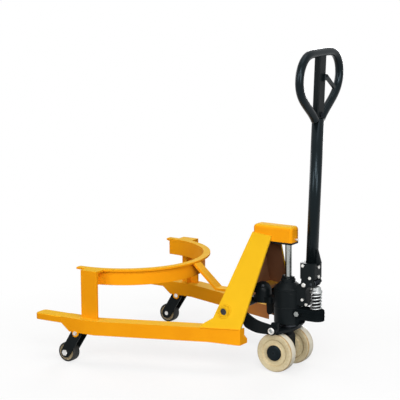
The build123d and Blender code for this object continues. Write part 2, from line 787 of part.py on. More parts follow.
def spring_heading(turn, pitch):
    across = 2 * pi * spring_radius
    return Vector(-across * sin(2 * pi * turn), across * cos(2 * pi * turn), pitch).normalized()


def make_spring():
    """Return spring: a helix of half-turn biarcs, each end running on straight by one wire."""
    low = tongue_top_z + spring_wire / 2 + running_gap
    pitch = (spring_cap_bottom_z - tongue_top_z - spring_wire - 2 * running_gap) / spring_turns
    start, stop = spring_place(0, low, pitch), spring_place(spring_turns, low, pitch)
    edges = [Line(start - spring_heading(0, 0) * spring_wire, start)]
    for k in range(4 * spring_turns):
        edges.append(ThreePointArc(*[spring_place((k + s) / 4, low, pitch) for s in (0, 0.5, 1)]))
    edges.append(Line(stop, stop + spring_heading(spring_turns, 0) * spring_wire))
    path = Wire(edges)
    section = Plane(path @ 0, z_dir=path % 0) * Circle(spring_wire / 2)
    points = [spring_place(k / 48, low, pitch) for k in range(48 * spring_turns)]
    gap = min((a - b).length for i, a in enumerate(points) for b in points[i + 36:]) - spring_wire
    print("least gap between spring turns", round(gap, 2), "mm")
    return sweep(section, path)


# Wheels
def make_crown():
    half = wheel_inner_y - side_gap
    middle = (axis_x + axle_x) / 2
    crown = block(middle - crown_half_length, middle + crown_half_length, -crown_half_width, crown_half_width,
                  crown_top_z - crown_height, crown_top_z)
    crown = fillet(crown.edges().filter_by(Axis.Y), crown_edge)
    crown += pin_y(axle_x, wheel_radius, crown_hub_radius, -half, half)
    crown += pin_z(axis_x, 0, spindle_radius, crown_top_z - 1, pump_bottom_z)
    return crown - pin_y(axle_x, wheel_radius, axle_radius, -half - 1, half + 1)


def make_axle():
    return pin_y(axle_x, wheel_radius, axle_radius, 1 - wheel_outer_y, wheel_outer_y - 1)


def make_wheel():
    wheel = pin_y(axle_x, wheel_radius, wheel_radius, wheel_inner_y, wheel_outer_y)
    wheel = fillet(wheel.edges(), wheel_edge_radius)
    for face, step in ((wheel_outer_y, -wheel_recess_depth), (wheel_inner_y, wheel_recess_depth)):
        wheel -= pin_y(axle_x, wheel_radius, wheel_recess_radius, face - step, face + step)
    return wheel - pin_y(axle_x, wheel_radius, axle_radius + fit_gap, wheel_inner_y - 1, wheel_outer_y + 1)


def make_hub_cap():
    seat = wheel_outer_y - wheel_recess_depth
    cap = pin_y(axle_x, wheel_radius, hub_cap_radius, seat, seat + hub_cap_height)
    cap = fillet(cap.faces().sort_by(Axis.Y)[-1].edges(), 3.0)
    return cap - pin_y(axle_x, wheel_radius, axle_radius + running_gap, seat - 1, wheel_outer_y)


# Load roller, fork and push rod of the left leg
def make_fork():
    pin_at, axle_at = (fork_pin_x, fork_pin_z), (roller_x, roller_z)
    brace_at = ((fork_pin_x + roller_x) / 2, (fork_pin_z + roller_z) / 2)
    lever_at = (fork_pin_x + fork_lever_reach * sin(fork_lean),
                fork_pin_z + fork_lever_reach * cos(fork_lean))
    fork = pin_y(*brace_at, fork_brace_radius, fork_inner_y, fork_outer_y)
    fork += pin_y(*pin_at, fork_hub_radius, fork_inner_y, fork_outer_y)
    for low in (fork_outer_y - fork_plate, fork_inner_y):
        fork += link_xz(pin_at, fork_pin_boss, axle_at, fork_axle_boss, low, low + fork_plate)
    high = fork_inner_y + fork_plate + fork_lever_thickness
    fork += link_xz(pin_at, fork_pin_radius + fork_plate, lever_at, 1.5 * rocker_pin_radius,
                    fork_inner_y, high)
    fork += pin_y(*lever_at, rocker_pin_radius, fork_inner_y, high + fork_lever_pin_length)
    ends = (fork_inner_y - 1, fork_outer_y + 1)
    fork -= pin_y(*pin_at, fork_pin_radius + fit_gap, *ends)
    return fork - pin_y(*axle_at, roller_axle_radius, *ends)


def make_fork_pins():
    pin = pin_y(fork_pin_x, fork_pin_z, fork_pin_radius, toe_inner_y, toe_half_width)
    pin += pin_y(fork_pin_x, fork_pin_z, fork_pin_radius * 0.8, toe_half_width, toe_half_width + pin_head)
    return both_sides(pin)


def make_roller():
    low, high = track_y - roller_width / 2, track_y + roller_width / 2
    roller = fillet(pin_y(roller_x, roller_z, roller_radius, low, high).edges(), roller_edge)
    return roller - pin_y(roller_x, roller_z, roller_axle_radius + fit_gap, low - 1, high + 1)


def make_roller_axle():
    axle = pin_y(roller_x, roller_z, roller_axle_radius, fork_inner_y, fork_outer_y)
    return axle + hexagon_y(roller_x, roller_z, roller_axle_hex,
                            fork_outer_y, fork_outer_y + roller_axle_head)


def make_push_rod():
    """Flat rod inside the leg with an upright slot at each end for the lever pins."""
    top = leg_top_z - leg_wall - rod_headroom
    lever_x = fork_pin_x + fork_lever_reach * sin(fork_lean)
    front = (fork_pin_z + fork_lever_reach * cos(fork_lean), fork_pin_z + fork_lever_reach)
    rear = (shaft_z - rocker_lever_reach, shaft_z - rocker_lever_reach * cos(rocker_turn))
    ahead, behind, step = lever_x + rod_eye, shaft_x - rod_eye, shaft_x + rod_eye
    eye_top, eye_low = rear[1] + rod_eye, rear[0] - rod_eye
    points = [(ahead, top - rod_height), (ahead, top), (step, top), (step, eye_top), (behind, eye_top),
              (behind, eye_low), (step, eye_low), (step + rod_height, top - rod_height)]
    rod = slab_xz(points, 0, leg_offset)
    for x, (low, high) in ((lever_x, front), (shaft_x, rear)):
        rod -= link_xz((x, low), rod_slot_radius, (x, high), rod_slot_radius, -1, leg_offset + 1)
    return rod & leg_strip(rod_inset - rod_thickness / 2, rod_inset + rod_thickness / 2,
                           leg_heel_x, nose_x, 0, shaft_z)


# Handle, built upright along its own axis and then leaned back on the yoke
handle_frame = Location((axis_x - tube_reach, 0, yoke_top_z), (0, -handle_tilt, 0))


def tube_core(radius):
    length = tube_top_run + yoke_socket_depth
    return handle_frame * Pos(0, 0, tube_top_run - length / 2) * Cylinder(radius, length)


def make_tube():
    return tube_core(tube_radius) - tube_core(tube_radius - tube_wall)


def make_yoke():
    front, rear = axis_x - yoke_front_reach, axis_x - yoke_rear_reach
    yoke = block(rear, front, -yoke_half_width, yoke_half_width, yoke_bottom_z, yoke_top_z)
    yoke = fillet(yoke.edges().filter_by(Axis.Z), yoke_edge)
    inner = yoke_half_width - yoke_cheek
    cheek = slab_xz([(front - yoke_edge, yoke_bottom_z + 1), (pivot_x + ear_radius, pivot_z),
                     (pivot_x, pivot_z - ear_radius), (cam_x, cam_z - 2 * cam_axle_radius),
                     (cam_x - 2 * cam_axle_radius, cam_z),
                     (rear + yoke_edge, yoke_bottom_z + 1)], inner, yoke_half_width)
    cheek += pin_y(pivot_x, pivot_z, ear_radius, inner, yoke_half_width)
    yoke += cheek
    yoke += other_side(cheek)
    half = gusset_thickness / 2
    tube_x = axis_x - tube_reach
    yoke += slab_xz([(tube_x, yoke_top_z - 1), (rear, yoke_top_z - yoke_edge),
                     (rear - gusset_reach, yoke_top_z),
                     (tube_x - tube_radius - gusset_rise * tan(lean_back), yoke_top_z + gusset_rise),
                     (tube_x, yoke_top_z + gusset_rise)], -half, half)
    yoke -= pin_y(pivot_x, pivot_z, pivot_pin_radius, -leg_offset, leg_offset)
    yoke -= pin_y(cam_x, cam_z, cam_axle_radius, -leg_offset, leg_offset)
    return yoke - tube_core(tube_radius)


def make_yoke_bolts():
    front, rear = axis_x - yoke_front_reach, axis_x - yoke_rear_reach
    bolts = []
    for z in (yoke_top_z - yoke_bolt_radius - yoke_edge, yoke_bottom_z + yoke_bolt_radius + 1):
        bolts.append(pin_x(0, z, yoke_bolt_radius, rear - yoke_bolt_head, rear))
    for x, z in ((front - yoke_edge - yoke_bolt_radius, yoke_top_z - yoke_bolt_radius - 2),
                 (rear + yoke_edge + yoke_bolt_radius, yoke_bottom_z + yoke_bolt_radius)):
        bolt = hexagon_y(x, z, yoke_bolt_radius, yoke_half_width, yoke_half_width + yoke_bolt_head)
        bolts += [bolt, other_side(bolt)]
    return Compound(children=bolts)


def make_pivot_pin():
    end = yoke_half_width + pivot_pin_head
    return chamfer(pin_y(pivot_x, pivot_z, pivot_pin_radius, -end, end).edges(), 1.5)


def make_cam_roller():
    roller = fillet(pin_y(cam_x, cam_z, cam_roller_radius, -cam_roller_half, cam_roller_half).edges(), 1.5)
    return roller - pin_y(cam_x, cam_z, cam_axle_radius + fit_gap, -cam_roller_half - 1, cam_roller_half + 1)


def make_cam_axle():
    return pin_y(cam_x, cam_z, cam_axle_radius, -yoke_half_width, yoke_half_width)


def make_loop():
    """Egg-shaped loop, wide above its middle and drawn in to the top of the tube."""
    foot = loop_top_run - loop_height
    left = [(0, s * loop_half_width, foot + r * loop_height) for s, r in loop_shape]
    path = Spline(*left, *[(x, -y, z) for x, y, z in left[::-1]])
    section = Plane(path @ 0, z_dir=path % 0) * Circle(loop_tube_radius)
    return handle_frame * sweep(section, path) - tube_core(tube_radius)


def make_centre_bar():
    x, y = centre_bar_thickness / 2, centre_bar_width / 2
    bar = block(-x, x, -y, y, tube_top_run, loop_top_run)
    bar = fillet(bar.edges().filter_by(Axis.Z), centre_bar_edge)
    bar -= pin_x(-lever_pin_offset, lever_pin_run, lever_pin_radius, -2 * x, 2 * x)
    bar -= pin_x(0, loop_bolt_run, loop_bolt_radius, -2 * x, 2 * x)
    return handle_frame * bar - make_loop()


def make_loop_bolt():
    x = centre_bar_thickness / 2
    bolt = pin_x(0, loop_bolt_run, loop_bolt_radius, -x, x)
    for side in (1, -1):
        bolt += pin_x(0, loop_bolt_run, 1.5 * loop_bolt_radius, side * x, side * (x + loop_bolt_head))
    return handle_frame * bolt


def make_lever_pin():
    x = centre_bar_thickness / 2
    end = -x - lever_thickness - 2
    return handle_frame * pin_x(-lever_pin_offset, lever_pin_run, lever_pin_radius, end, x)


def make_lever():
    """Control lever: a tapered blade on the rear of the centre bar that droops sideways into the loop."""
    x = -centre_bar_thickness / 2 - running_gap
    y, z, wide = -lever_pin_offset, lever_pin_run, lever_width / 2
    tip = (y - lever_length * cos(radians(lever_droop)), z - lever_length * sin(radians(lever_droop)))
    outline = [(y + wide, z + wide), (y - wide, z + wide), (tip[0], tip[1] + wide * 0.8),
               (tip[0] - wide / 2, tip[1]), (tip[0] + wide / 2, tip[1] - wide * 0.8),
               (y - wide, z - wide * 1.2), (y + wide, z - wide * 1.2)]
    blade = slab_yz(outline, x - lever_thickness, x)
    return handle_frame * (blade - pin_x(y, z, lever_pin_radius + fit_gap, x - 2 * lever_thickness, x + 1))


# All pieces, the left ones mirrored for the right side
pieces = {
    "ring_flange": make_ring_flange(),
    "ring_band": make_ring_band(),
    "ring_strut": make_strut(),
    "cross_plate": make_cross_plate(),
    "front_plate": make_front_plate(),
    "head_cap": make_head_cap(),
    "crosshead_plate": make_crosshead(),
    "head_screw": make_head_screw(),
    "rocker_shaft": make_shaft(),
    "dome_housing": make_dome(),
    "dome_plug": make_dome_plug(),
    "ram": make_ram(),
    "fork_pins": make_fork_pins(),
    "rocker": make_rocker(),
    "thrust_bracket": make_bracket(),
    "thrust_bearing": make_bearing(),
    "link_pins": make_link_pins(),
    "link_caps": make_link_caps(),
    "pump_body": make_pump(),
    "valve_plugs": make_valve_plugs(),
    "base_tongue": make_tongue(),
    "tongue_bolts": make_tongue_bolts(),
    "plunger": make_plunger(),
    "spring_cap": make_spring_cap(),
    "plunger_spring": make_spring(),
    "wheel_crown": make_crown(),
    "wheel_axle": make_axle(),
    "handle_yoke": make_yoke(),
    "yoke_bolts": make_yoke_bolts(),
    "pivot_pin": make_pivot_pin(),
    "cam_roller": make_cam_roller(),
    "cam_axle": make_cam_axle(),
    "handle_tube": make_tube(),
    "handle_loop": make_loop(),
    "centre_bar": make_centre_bar(),
    "loop_bolt": make_loop_bolt(),
    "lever_pin": make_lever_pin(),
    "control_lever": make_lever(),
}
paired = {
    "leg": make_leg(),
    "toe": make_toe(),
    "post": make_post(),
    "side_plate": make_side_plate(),
    "boss": make_boss(),
    "steer_wheel": make_wheel(),
    "hub_cap": make_hub_cap(),
    "roller_fork": make_fork(),
    "roller_axle": make_roller_axle(),
    "load_roller": make_roller(),
    "push_rod": make_push_rod(),
}
for name, shape in paired.items():
    pieces["left_" + name] = shape
    pieces["right_" + name] = other_side(shape)

# The finished truck is centred on its own box along x
boxes = [shape.bounding_box() for shape in pieces.values()]
shift = -(min(b.min.X for b in boxes) + max(b.max.X for b in boxes)) / 2
print("saddle axis at x =", round(shift, 4), "and", len(pieces), "pieces")
print("rocker turns", round(degrees(rocker_turn), 4), "and forks", round(degrees(fork_turn), 4), "degrees")
print("rods move", round(rod_stroke / cos(splay), 4), "mm along the legs")
os.makedirs("parts", exist_ok=True)
for name, shape in pieces.items():
    export_step(Pos(shift, 0, 0) * shape, os.path.join("parts", name + ".step"))
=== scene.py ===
import json
import math

import bmesh
import bpy
import numpy as np
from mathutils import Matrix, Vector
from mathutils.bvhtree import BVHTree


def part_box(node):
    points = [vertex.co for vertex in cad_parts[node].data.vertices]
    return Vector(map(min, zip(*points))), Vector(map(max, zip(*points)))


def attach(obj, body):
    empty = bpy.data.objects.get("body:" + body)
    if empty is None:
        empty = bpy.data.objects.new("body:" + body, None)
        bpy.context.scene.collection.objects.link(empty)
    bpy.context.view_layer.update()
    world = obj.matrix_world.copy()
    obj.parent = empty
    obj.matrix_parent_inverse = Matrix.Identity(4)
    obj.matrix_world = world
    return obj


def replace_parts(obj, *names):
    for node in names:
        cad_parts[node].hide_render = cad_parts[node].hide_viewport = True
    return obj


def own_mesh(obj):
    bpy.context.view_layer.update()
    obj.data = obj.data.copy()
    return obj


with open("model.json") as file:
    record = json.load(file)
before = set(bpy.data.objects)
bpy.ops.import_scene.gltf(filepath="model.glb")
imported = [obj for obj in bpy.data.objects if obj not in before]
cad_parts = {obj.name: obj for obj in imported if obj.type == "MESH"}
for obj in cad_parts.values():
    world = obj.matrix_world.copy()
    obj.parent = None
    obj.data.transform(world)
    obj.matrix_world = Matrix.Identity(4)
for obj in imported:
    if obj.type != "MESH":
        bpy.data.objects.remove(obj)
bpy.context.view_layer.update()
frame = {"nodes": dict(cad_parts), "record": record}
nodes = frame["nodes"]
slot_of = {entry["node"]: entry["material_slot"] for entry in frame["record"]["subparts"]}
body_of = {node: body for body, members in frame["record"]["behaviour"]["bodies"].items() for node in members}


def middle(node):
    low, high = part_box(node)
    return (low + high) / 2


def half_size(node):
    low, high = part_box(node)
    return (high - low) / 2


# Surfaces worked out as arrays

def turned_surface(points, wrap_u=False, wrap_v=True, pole_ends=False):
    """Vertices and quads of a grid of points, u along the path and v round the section.
    With pole_ends the first and last rows are single points, so they close as fans."""
    nu, nv = points.shape[:2]
    index = np.arange(nu * nv).reshape(nu, nv)
    if pole_ends:
        index[0], index[-1] = index[0, 0], index[-1, 0]
    rows = np.concatenate([index, index[:1]]) if wrap_u else index
    rows = np.concatenate([rows, rows[:, :1]], axis=1) if wrap_v else rows
    quads = np.stack([rows[:-1, :-1], rows[1:, :-1], rows[1:, 1:], rows[:-1, 1:]], axis=-1)
    return points.reshape(-1, 3), quads.reshape(-1, 4)


def lathe(profile, centre, axis="y", steps=96):
    """Profile of (radius, along) pairs turned about an axis through centre: a closed band of rings,
    or a solid that closes in two poles where the profile starts and ends on the axis."""
    radius, along = np.asarray(profile, float).T
    angle = np.linspace(0, 2 * np.pi, steps, endpoint=False)
    ring_a, ring_b = radius[:, None] * np.cos(angle), radius[:, None] * np.sin(angle)
    flat = np.broadcast_to(along[:, None], ring_a.shape)
    order = {"y": (ring_a, flat, ring_b), "z": (ring_a, ring_b, flat)}[axis]
    solid = bool(radius[0] == 0 and radius[-1] == 0)
    return turned_surface(np.stack(order, axis=-1) + np.asarray(centre), wrap_u=not solid, pole_ends=solid)


def rounded(points, radius, steps=4):
    """Closed outline whose corners are blended: each becomes a parabola between the points that lie one
    radius away from it along its two edges, but at most almost half an edge away."""
    most = 0.49
    points = np.asarray(points, float)
    before, after = np.roll(points, 1, axis=0) - points, np.roll(points, -1, axis=0) - points
    reach_b, reach_a = np.linalg.norm(before, axis=1), np.linalg.norm(after, axis=1)
    radius = np.minimum(np.broadcast_to(radius, len(points)), most * np.minimum(reach_a, reach_b))
    start = points + before * (radius / reach_b)[:, None]
    stop = points + after * (radius / reach_a)[:, None]
    t = np.linspace(0, 1, steps + 1)[None, :, None]
    blend = (1 - t) ** 2 * start[:, None] + 2 * t * (1 - t) * points[:, None] + t ** 2 * stop[:, None]
    return blend.reshape(-1, 2)


def carried(path, radius, sides=10):
    """Round section carried along a path: each ring stands square to the path, turned by one fixed guide
    direction, and its radius may change along the way. The ends close to points."""
    path = np.asarray(path, float)
    guide = np.array([0.31, 0.17, 0.93])
    tangent = np.gradient(path, axis=0)
    tangent /= np.linalg.norm(tangent, axis=1)[:, None]
    side = np.cross(tangent, guide)
    side /= np.linalg.norm(side, axis=1)[:, None]
    other = np.cross(tangent, side)
    angle = np.linspace(0, 2 * np.pi, sides, endpoint=False)[None, :, None]
    radius = np.broadcast_to(radius, len(path))[:, None, None]
    rings = path[:, None] + radius * (side[:, None] * np.cos(angle) + other[:, None] * np.sin(angle))
    first, last = (np.broadcast_to(path[k], (1, sides, 3)) for k in (0, -1))
    return turned_surface(np.concatenate([first, rings, last]), pole_ends=True)


def even_steps(points, step):
    """Points at equal steps along a polyline, and how far along it each of them lies."""
    points = np.asarray(points, float)
    run = np.concatenate([[0], np.cumsum(np.linalg.norm(np.diff(points, axis=0), axis=1))])
    at = np.linspace(0, run[-1], max(8, int(run[-1] / step)))
    return np.stack([np.interp(at, run, points[:, k]) for k in range(3)], axis=-1), at


def add_mesh(name, verts, faces, material, body, smooth=True):
    """Mesh object in the truck's frame that rides on a body."""
    mesh = bpy.data.meshes.new(name)
    mesh.from_pydata(verts.tolist(), [], faces)
    mesh.polygons.foreach_set("use_smooth", np.full(len(mesh.polygons), smooth))
    mesh.materials.append(material)
    piece = bpy.data.objects.new(name, mesh)
    bpy.context.scene.collection.objects.link(piece)
    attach(piece, body)
    return piece


def add_piece(name, parts, material, body, smooth=True):
    """One mesh object from several (vertices, quads) parts. A quad with a repeated corner becomes a
    triangle, and each part whose signed volume is negative is turned the right way out."""
    verts, faces, base = [], [], 0
    for points, quads in parts:
        a, b, c, d = (points[quads[:, k]] for k in range(4))
        volume = (np.cross(a, b) * c).sum() + (np.cross(a, c) * d).sum()
        quads = quads if volume >= 0 else quads[:, ::-1]
        verts.append(points)
        faces.append(quads + base)
        base += len(points)
    verts, faces = np.concatenate(verts), np.concatenate(faces)
    used, faces = np.unique(faces, return_inverse=True)
    rings = [list(dict.fromkeys(ring)) for ring in faces.reshape(-1, 4).tolist()]
    rings = [ring for ring in rings if len(ring) > 2]
    return add_mesh(name, verts[used], rings, material, body, smooth)


# Shader nodes

def set_socket(tree, socket, value):
    """Links a socket to another node's output, or sets it to a plain value."""
    if isinstance(value, bpy.types.NodeSocket):
        tree.links.new(value, socket)
    else:
        socket.default_value = value


def add_node(tree, kind, sockets=None, **values):
    """New node. Sockets go by name or number; each other value sets the node's property of that name,
    or else its socket of that name."""
    node = tree.nodes.new(kind)
    for key, value in values.items():
        if hasattr(node, key):
            setattr(node, key, value)
        else:
            set_socket(tree, node.inputs[key.replace("_", " ")], value)
    for key, value in (sockets or {}).items():
        set_socket(tree, node.inputs[key], value)
    return node


def mix_colour(tree, factor, a, b):
    """Colour a to colour b by factor."""
    return add_node(tree, "ShaderNodeMix", {0: factor, 6: a, 7: b}, data_type="RGBA").outputs[2]


def maths(tree, operation, a, b=0.0, clamp=False):
    return add_node(tree, "ShaderNodeMath", {0: a, 1: b}, operation=operation, use_clamp=clamp).outputs[0]


def vector_maths(tree, operation, a, b=(0, 0, 0), output="Vector"):
    return add_node(tree, "ShaderNodeVectorMath", {0: a, 1: b}, operation=operation).outputs[output]


def spread(tree, value, low, high, to_low=0.0, to_high=1.0):
    """Value carried over from the range low to high to the range to_low to to_high, and held inside it."""
    return add_node(tree, "ShaderNodeMapRange", Value=value, From_Min=low, From_Max=high,
                    To_Min=to_low, To_Max=to_high).outputs["Result"]


def noise(tree, vector, scale, detail=3.0, rough=0.55):
    return add_node(tree, "ShaderNodeTexNoise", Vector=vector, Scale=scale, Detail=detail,
                    Roughness=rough).outputs["Fac"]


def seen_directly(tree):
    """One for camera, mirror and glass rays, and nought for all other light."""
    path = tree.nodes.new("ShaderNodeLightPath").outputs
    direct = maths(tree, "ADD", path["Is Camera Ray"], path["Is Glossy Ray"])
    return maths(tree, "ADD", direct, path["Is Transmission Ray"], True)


# Shader groups

def new_skin(name, inputs):
    """Empty shader group of a surface: a place, named inputs whose kind follows from their values' length,
    and a colour, a roughness and a bump height as outputs."""
    tree = bpy.data.node_groups.new(name, "ShaderNodeTree")
    tree.interface.new_socket("Vector", in_out="INPUT", socket_type="NodeSocketVector")
    for label, value in inputs.items():
        kind = {1: "NodeSocketFloat", 3: "NodeSocketVector", 4: "NodeSocketColor"}[np.size(value)]
        tree.interface.new_socket(label, in_out="INPUT", socket_type=kind).default_value = value
    for label, kind in (("Colour", "NodeSocketColor"), ("Roughness", "NodeSocketFloat"),
                        ("Height", "NodeSocketFloat")):
        tree.interface.new_socket(label, in_out="OUTPUT", socket_type=kind)
    return tree, tree.nodes.new("NodeGroupInput").outputs


def close_skin(tree, colour, rough, height):
    add_node(tree, "NodeGroupOutput", {"Colour": colour, "Roughness": rough, "Height": height})
    return tree


def make_paint_skin():
    """Sprayed paint: broad fading, painted top light (a paler tone on faces that look up), fine orange peel,
    small chips, and painted shade (a dark brown on faces that look towards the pump, thinner the farther away
    they are)."""
    tree, at = new_skin("paint_skin", {
        "Colour": (0.9, 0.4, 0.02, 1), "Fade": (0.8, 0.3, 0.02, 1), "Sun": (0.9, 0.5, 0.02, 1),
        "Sun Amount": 0.0, "Chip Colour": (0.1, 0.1, 0.1, 1), "Chips": 0.3, "Gloss": 0.3, "Peel": 260.0,
        "Film": (0.42, 0.165, 0.075, 1), "Film Amount": 0.0, "Film Centre": (0, 0, 0),
        "Film Reach": (1, 1, 1)})
    fade = spread(tree, noise(tree, at["Vector"], 7.0, 4.0), 0.35, 0.7)
    colour = mix_colour(tree, fade, at["Colour"], at["Fade"])
    normal = tree.nodes.new("ShaderNodeNewGeometry").outputs["Normal"]
    # painted top light: faces that look up are mixed towards a paler, yellower colour that stands in for the
    # stronger light falling on them
    upward = add_node(tree, "ShaderNodeSeparateXYZ", {0: normal}).outputs["Z"]
    painted_toplight = maths(tree, "MULTIPLY", spread(tree, upward, 0.45, 0.9), at["Sun Amount"])
    colour = mix_colour(tree, painted_toplight, colour, at["Sun"])
    # painted shade: faces turned towards the shade centre, within about half a metre of it, are mixed towards
    # a dark brown that stands in for the shade inside the frame
    arm = vector_maths(tree, "SUBTRACT", at["Film Centre"], at["Vector"])
    towards = vector_maths(tree, "NORMALIZE", vector_maths(tree, "MULTIPLY", arm, at["Film Reach"]))
    turned = spread(tree, vector_maths(tree, "DOT_PRODUCT", normal, towards, "Value"), 0.2, 0.6)
    near = spread(tree, vector_maths(tree, "LENGTH", arm, output="Value"), 0.55, 0.35)
    painted_shade = maths(tree, "MULTIPLY", maths(tree, "MULTIPLY", turned, near), at["Film Amount"])
    colour = mix_colour(tree, painted_shade, colour, at["Film"])
    spots = noise(tree, at["Vector"], 95.0, 5.0, 0.65)
    patch = noise(tree, at["Vector"], 9.0, 2.0)
    chip = spread(tree, maths(tree, "MULTIPLY", spots, patch), 0.43, 0.47)
    chip = maths(tree, "MULTIPLY", chip, at["Chips"], True)
    colour = mix_colour(tree, chip, colour, at["Chip Colour"])
    smear = noise(tree, at["Vector"], 22.0, 5.0, 0.7)
    rough = maths(tree, "ADD", at["Gloss"], spread(tree, smear, 0.3, 0.75, 0.0, 0.16))
    rough = maths(tree, "ADD", rough, maths(tree, "MULTIPLY", chip, 0.3), True)
    peel = noise(tree, at["Vector"], at["Peel"], 2.0, 0.5)
    return close_skin(tree, colour, rough, maths(tree, "SUBTRACT", maths(tree, "MULTIPLY", peel, 0.5), chip))


def make_metal_skin():
    """Bare or plated metal: cloudy tarnish, and fine scratches drawn out along one direction."""
    tree, at = new_skin("metal_skin", {
        "Stretch": (1, 1, 1), "Bright": (0.7, 0.7, 0.7, 1), "Dull": (0.4, 0.4, 0.4, 1), "Polish": 0.25})
    cloud = spread(tree, noise(tree, at["Vector"], 40.0, 4.0), 0.35, 0.75)
    lines = noise(tree, vector_maths(tree, "MULTIPLY", at["Vector"], at["Stretch"]), 900.0, 2.0)
    colour = mix_colour(tree, cloud, at["Bright"], at["Dull"])
    rough = maths(tree, "ADD", at["Polish"], spread(tree, lines, 0.3, 0.7, -0.05, 0.1))
    rough = maths(tree, "ADD", rough, maths(tree, "MULTIPLY", cloud, 0.12), True)
    return close_skin(tree, colour, rough, lines)


def make_wheel_skin():
    """Cast nylon turned on a lathe, coloured by its distance from the axle as a share of the tread's radius:
    a darker line near the edge, painted shade in the two grooves where the face steps down, a rim and a tread
    of their own colours, and mottled stains all over."""
    tree, at = new_skin("wheel_skin", {
        "Axle": (0, 0, 0), "Face": (0.7, 0.6, 0.4, 1), "Rim": (0.7, 0.6, 0.4, 1),
        "Stain": (0.4, 0.28, 0.14, 1), "Tread": (0.75, 0.68, 0.5, 1), "Tread Radius": 0.07,
        "Rim Start": 0.86, "Stain Amount": 0.5})
    arm = vector_maths(tree, "SUBTRACT", at["Vector"], at["Axle"])
    length = vector_maths(tree, "LENGTH", vector_maths(tree, "MULTIPLY", arm, (1, 0, 1)), output="Value")
    radius = maths(tree, "DIVIDE", length, at["Tread Radius"])

    def line(place, width, amount):
        """The amount on a circle of the given place, falling to nought a width away from it."""
        away = maths(tree, "ABSOLUTE", maths(tree, "SUBTRACT", radius, place))
        return maths(tree, "MULTIPLY", spread(tree, away, width, 0.3 * width), amount)

    mottle = spread(tree, noise(tree, at["Vector"], 120.0, 6.0, 0.7), 0.35, 0.72)
    broad = spread(tree, noise(tree, at["Vector"], 18.0, 3.0), 0.35, 0.7)
    tread = spread(tree, radius, 0.987, 0.994)
    rim = spread(tree, maths(tree, "SUBTRACT", radius, at["Rim Start"]), 0.0, 0.03)
    # painted shade in the two grooves where the face steps (0.43 and 0.67 of the radius); next, a darker line
    # near the edge (0.975), and mottled stains all over
    groove_shade = maths(tree, "ADD", line(0.67, 0.045, 0.40), line(0.43, 0.05, 0.40))
    stain_and_shade = maths(tree, "ADD", line(0.975, 0.024, 0.95), groove_shade)
    stain_and_shade = maths(tree, "ADD", maths(tree, "MULTIPLY", mottle, 0.62), stain_and_shade)
    stain_and_shade = maths(tree, "MULTIPLY", stain_and_shade, spread(tree, broad, 0.0, 1.0, 0.5, 1.0))
    stain_and_shade = maths(tree, "MULTIPLY", stain_and_shade, at["Stain Amount"], True)
    stain_and_shade = maths(tree, "MULTIPLY", stain_and_shade, spread(tree, tread, 0.0, 1.0, 1.0, 0.3))
    colour = mix_colour(tree, rim, at["Face"], at["Rim"])
    colour = mix_colour(tree, tread, colour, at["Tread"])
    colour = mix_colour(tree, stain_and_shade, colour, at["Stain"])
    rough = spread(tree, mottle, 0.0, 1.0, 0.38, 0.55)
    rough = maths(tree, "ADD", rough, maths(tree, "MULTIPLY", tread, 0.1), True)
    turning = maths(tree, "SINE", maths(tree, "MULTIPLY", radius, 420.0))
    return close_skin(tree, colour, rough, maths(tree, "ADD", maths(tree, "MULTIPLY", turning, 0.12), mottle))


def finish(name, group, bump, bump_size, metallic=0.0, specular=0.5, rim=1.0, **values):
    """Material whose group gives colour, roughness and bump. Rim tints the mirror light, as one number or
    as three; everything constant is set on the shader itself."""
    material = bpy.data.materials.new(name)
    material.use_nodes = True
    tree = material.node_tree
    shader = tree.nodes["Principled BSDF"]
    where = tree.nodes.new("ShaderNodeTexCoord").outputs["Object"]
    skin = add_node(tree, "ShaderNodeGroup", node_tree=group)
    for key, value in {"Vector": where, **values}.items():
        set_socket(tree, skin.inputs[key.replace("_", " ")], value)
    bumps = add_node(tree, "ShaderNodeBump", Height=skin.outputs["Height"], Strength=bump, Distance=bump_size)
    for label, value in {"Base Color": skin.outputs["Colour"], "Roughness": skin.outputs["Roughness"],
                         "Normal": bumps.outputs["Normal"], "Metallic": metallic,
                         "Specular IOR Level": specular,
                         "Specular Tint": (*np.broadcast_to(rim, 3), 1)}.items():
        set_socket(tree, shader.inputs[label], value)
    return material


# Materials

paint_skin, metal_skin, wheel_skin = make_paint_skin(), make_metal_skin(), make_wheel_skin()
# Painted shade on the frame, plates and mast darkens faces turned towards a point on the ram's axis at this
# height
shade_height = 0.36
pump_at = (middle("ram").x, 0.0, shade_height)
sideways, all_round = (0, 1, 0), (1, 1, 1)

# frame_paint paints top light as a paler yellow on its upward faces
frame_paint = finish("frame_paint", paint_skin, 0.12, 0.0006, specular=0.07, rim=0.5,
                     Colour=(0.88, 0.345, 0.006, 1), Fade=(0.83, 0.305, 0.005, 1),
                     Sun=(0.86, 0.480, 0.020, 1), Sun_Amount=1.0, Chip_Colour=(0.20, 0.07, 0.02, 1),
                     Chips=0.5, Gloss=0.62, Film_Amount=0.8, Film_Centre=pump_at, Film_Reach=sideways)
